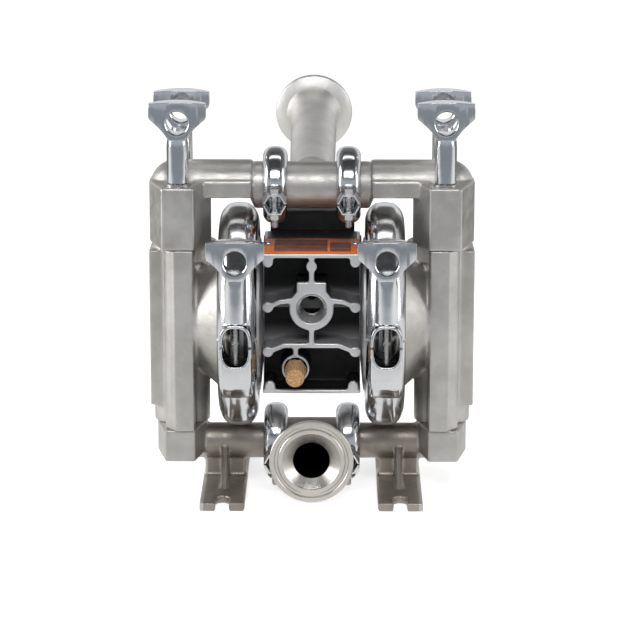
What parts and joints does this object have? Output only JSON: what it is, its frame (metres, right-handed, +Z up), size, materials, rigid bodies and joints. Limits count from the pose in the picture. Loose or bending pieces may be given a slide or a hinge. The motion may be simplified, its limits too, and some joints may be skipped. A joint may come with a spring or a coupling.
{
  "type": "air operated diaphragm pump",
  "caption": "Hygienic air operated double diaphragm pump: clamped twin chambers, ball valve columns, inlet tee in front, long discharge pipe to the rear.",
  "frame": {"origin": "on the floor under the middle of the diaphragm shaft, at the centre of the four foot slots", "axes": "+X along the diaphragm shaft to the right as seen from the front, +Y to the rear along the discharge pipe, +Z up"},
  "size_m": [0.1962, 0.2566, 0.2403],
  "materials": {
    "cast_stainless": "bead blasted satin",
    "polished_stainless": "mirror polished",
    "block_aluminium": "as cast, machined faces",
    "plain_steel": "turned",
    "dark_coating": "satin black",
    "dark_plastic": "moulded",
    "orange_plate": "enamelled sheet",
    "sintered_bronze": "sintered",
    "white_elastomer": "smooth",
    "black_elastomer": "smooth",
    "bearing_bronze": "turned"
  },
  "bodies": {
    "pump_body": {"air_chamber_left": "block_aluminium", "air_chamber_right": "block_aluminium", "air_valve_body": "dark_coating", "air_valve_end_caps": "dark_coating", "air_valve_gasket": "black_elastomer", "air_valve_screws": "plain_steel", "breather_collar": "plain_steel", "breather_silencer": "sintered_bronze", "centre_block": "block_aluminium", "discharge_clamp_left": "polished_stainless", "discharge_clamp_right": "polished_stainless", "discharge_elbow_left": "cast_stainless", "discharge_elbow_right": "cast_stainless", "discharge_tee": "cast_stainless", "exhaust_muffler": "dark_plastic", "inlet_clamp_left": "polished_stainless", "inlet_clamp_right": "polished_stainless", "inlet_elbow_left": "cast_stainless", "inlet_elbow_right": "cast_stainless", "inlet_tee": "cast_stainless", "large_clamp_bolt_left": "plain_steel", "large_clamp_bolt_right": "plain_steel", "large_clamp_left_lower": "polished_stainless", "large_clamp_left_upper": "polished_stainless", "large_clamp_right_lower": "polished_stainless", "large_clamp_right_upper": "polished_stainless", "liquid_chamber_left": "cast_stainless", "liquid_chamber_right": "cast_stainless", "manifold_gaskets": "white_elastomer", "name_plate": "orange_plate", "name_plate_screws": "plain_steel", "shaft_bushes": "bearing_bronze", "shaft_seals": "black_elastomer", "small_clamp_bolts": "plain_steel", "small_clamp_nuts": "plain_steel", "tie_rod_washers": "plain_steel", "tie_rods": "plain_steel", "valve_seats": "plain_steel"},
    "shaft_assembly": {"main_shaft": "plain_steel", "inner_piston_left": "plain_steel", "inner_piston_right": "plain_steel", "outer_piston_left": "plain_steel", "outer_piston_right": "plain_steel", "diaphragm_left": "white_elastomer", "diaphragm_right": "white_elastomer"},
    "pilot_spool": {"pilot_spool": "plain_steel"},
    "air_valve_spool": {"air_valve_spool": "plain_steel"},
    "inlet_ball_left": {"inlet_ball_left": "white_elastomer"},
    "inlet_ball_right": {"inlet_ball_right": "white_elastomer"},
    "discharge_ball_left": {"discharge_ball_left": "white_elastomer"},
    "discharge_ball_right": {"discharge_ball_right": "white_elastomer"},
    "band_wing_nut_left": {"large_clamp_wing_nut_left": "polished_stainless"},
    "band_wing_nut_right": {"large_clamp_wing_nut_right": "polished_stainless"},
    "rod_wing_nut_front_left": {"tie_rod_wing_nut_front_left": "polished_stainless"},
    "rod_wing_nut_front_right": {"tie_rod_wing_nut_front_right": "polished_stainless"},
    "rod_wing_nut_rear_left": {"tie_rod_wing_nut_rear_left": "polished_stainless"},
    "rod_wing_nut_rear_right": {"tie_rod_wing_nut_rear_right": "polished_stainless"}
  },
  "joints": [
    {"name": "diaphragm_stroke", "type": "slide", "parent": "pump_body", "child": "shaft_assembly", "axis": [1, 0, 0], "range_m": [-0.0045, 0.0045], "deforming": ["diaphragm_left", "diaphragm_right"]},
    {"name": "pilot_shift", "type": "slide", "parent": "pump_body", "child": "pilot_spool", "axis": [1, 0, 0], "range_m": [-0.0018, 0.0018]},
    {"name": "air_valve_shift", "type": "slide", "parent": "pump_body", "child": "air_valve_spool", "axis": [1, 0, 0], "range_m": [-0.004, 0.004]},
    {"name": "inlet_ball_lift_left", "type": "slide", "parent": "pump_body", "child": "inlet_ball_left", "axis": [0, 0, 1], "range_m": [0, 0.005]},
    {"name": "inlet_ball_lift_right", "type": "slide", "parent": "pump_body", "child": "inlet_ball_right", "axis": [0, 0, 1], "range_m": [0, 0.005]},
    {"name": "discharge_ball_lift_left", "type": "slide", "parent": "pump_body", "child": "discharge_ball_left", "axis": [0, 0, 1], "range_m": [0, 0.005]},
    {"name": "discharge_ball_lift_right", "type": "slide", "parent": "pump_body", "child": "discharge_ball_right", "axis": [0, 0, 1], "range_m": [0, 0.005]},
    {"name": "band_wing_nut_turn_left", "type": "hinge", "parent": "pump_body", "child": "band_wing_nut_left", "pos_m": [-0.044, -0.074, 0.118], "axis": [0, 0, 1], "continuous": true},
    {"name": "band_wing_nut_turn_right", "type": "hinge", "parent": "pump_body", "child": "band_wing_nut_right", "pos_m": [0.044, -0.074, 0.118], "axis": [0, 0, 1], "continuous": true},
    {"name": "rod_wing_nut_turn_front_left", "type": "hinge", "parent": "pump_body", "child": "rod_wing_nut_front_left", "pos_m": [-0.0795, -0.023, 0.1913], "axis": [0, 0, 1], "continuous": true},
    {"name": "rod_wing_nut_turn_rear_left", "type": "hinge", "parent": "pump_body", "child": "rod_wing_nut_rear_left", "pos_m": [-0.0795, 0.023, 0.1913], "axis": [0, 0, 1], "continuous": true},
    {"name": "rod_wing_nut_turn_front_right", "type": "hinge", "parent": "pump_body", "child": "rod_wing_nut_front_right", "pos_m": [0.0795, -0.023, 0.1913], "axis": [0, 0, 1], "continuous": true},
    {"name": "rod_wing_nut_turn_rear_right", "type": "hinge", "parent": "pump_body", "child": "rod_wing_nut_rear_right", "pos_m": [0.0795, 0.023, 0.1913], "axis": [0, 0, 1], "continuous": true}
  ],
  "couplings": [
    {"joint": "pilot_shift", "follows": "diaphragm_stroke", "ratio": 0.4}
  ]
}
